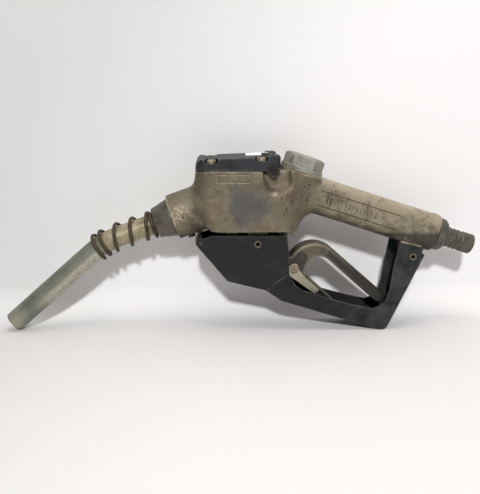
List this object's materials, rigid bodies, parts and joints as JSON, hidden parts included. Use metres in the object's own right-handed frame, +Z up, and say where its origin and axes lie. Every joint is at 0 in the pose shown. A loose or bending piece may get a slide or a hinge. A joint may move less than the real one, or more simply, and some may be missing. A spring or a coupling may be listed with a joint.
{
  "type": "fuel nozzle",
  "caption": "Automatic shut-off fuel dispensing nozzle: bent spout with anchor spring, cast body and handle, black hand guard, squeeze lever with hold-open latch, ribbed hose tail.",
  "frame": {"origin": "on the surface it stands on, below the middle of the object's length and width", "axes": "+X runs from the spout tip to the hose tail, +Y goes from the latch rod side to the other side, +Z is up"},
  "size_m": [0.4852, 0.056, 0.1838],
  "materials": {
    "cast_body": "dull, tarnished sand casting with worn edges",
    "black_cover": "satin black plastic",
    "guard_plastic": "scuffed black plastic",
    "screw_steel": "yellowed zinc plate",
    "dark_screw": "blackened steel",
    "rubber_seal": "black fuel-proof rubber",
    "brass_fitting": "machined brass",
    "stem_steel": "turned stainless steel",
    "spring_steel": "bright spring wire",
    "rusty_wire": "rust-brown spring wire",
    "lever_metal": "worn grey-brown coating",
    "latch_metal": "dull plated steel",
    "rivet_steel": "tarnished steel with some rust",
    "cap_metal": "dull cast light alloy",
    "nut_metal": "dark grimy alloy",
    "spout_metal": "worn, scratched alloy tube",
    "tail_metal": "dark grimy alloy"
  },
  "bodies": {
    "nozzle": {"valve_body": "cast_body", "diaphragm_cover": "black_cover", "cover_screws": "screw_steel", "diaphragm": "rubber_seal", "diaphragm_spring": "spring_steel", "trip_sleeve": "brass_fitting", "trip_spring": "spring_steel", "valve_cap": "cap_metal", "cap_seal": "rubber_seal", "main_spring": "spring_steel", "stem_gland": "brass_fitting", "stem_seal": "rubber_seal", "check_seat": "brass_fitting", "check_spring": "spring_steel", "spout_nut": "nut_metal", "spout_seal": "rubber_seal", "spout_tube": "spout_metal", "vent_tube": "brass_fitting", "anchor_spring": "rusty_wire", "spout_set_screw": "dark_screw", "hand_guard": "guard_plastic", "guard_front_rivets": "rivet_steel", "guard_rear_rivet": "rivet_steel", "guard_nose_pin": "rivet_steel", "hose_tail": "tail_metal", "hose_tail_seal": "rubber_seal", "inlet_strainer": "stem_steel"},
    "trip": {"trip_stem": "stem_steel", "trip_balls": "stem_steel"},
    "lever": {"lever": "lever_metal", "lever_pin": "stem_steel"},
    "latch": {"hold_open_latch": "latch_metal", "latch_rod": "latch_metal", "latch_rivet": "rivet_steel"},
    "main_valve": {"main_poppet": "brass_fitting", "poppet_disc": "rubber_seal", "valve_stem": "stem_steel"},
    "release": {"diaphragm_plate": "brass_fitting", "release_pin": "stem_steel"},
    "check_valve": {"check_poppet": "brass_fitting"}
  },
  "joints": [
    {"name": "trip_slide", "type": "slide", "parent": "nozzle", "child": "trip", "axis": [0, 0, -1], "range_m": [0, 0.006], "stiffness_N_per_m": 600, "springref_m": -0.02, "deforming": ["trip_spring"]},
    {"name": "lever_hinge", "type": "hinge", "parent": "trip", "child": "lever", "pos_m": [-0.0124, 0, 0.084], "axis": [0, -1, 0], "range_deg": [0, 11], "stiffness_Nm_per_rad": 1.2, "springref_deg": -20.05},
    {"name": "latch_hinge", "type": "hinge", "parent": "lever", "child": "latch", "pos_m": [0.0513, 0, 0.0642], "axis": [0, -1, 0], "range_deg": [0, 25], "stiffness_Nm_per_rad": 0.02, "springref_deg": -34.38},
    {"name": "valve_slide", "type": "slide", "parent": "nozzle", "child": "main_valve", "axis": [0.3074, 0, 0.9516], "range_m": [0, 0.0095], "stiffness_N_per_m": 500, "springref_m": -0.02, "deforming": ["main_spring"]},
    {"name": "release_slide", "type": "slide", "parent": "nozzle", "child": "release", "axis": [0, 0, 1], "range_m": [0, 0.003], "stiffness_N_per_m": 300, "springref_m": -0.006, "deforming": ["diaphragm_spring", "diaphragm"]},
    {"name": "check_slide", "type": "slide", "parent": "nozzle", "child": "check_valve", "axis": [-0.9426, 0, -0.3338], "range_m": [0, 0.004], "stiffness_N_per_m": 250, "springref_m": -0.01, "deforming": ["check_spring"]}
  ],
  "couplings": [
    {"joint": "valve_slide", "follows": "lever_hinge", "m_per_rad": 0.049}
  ]
}
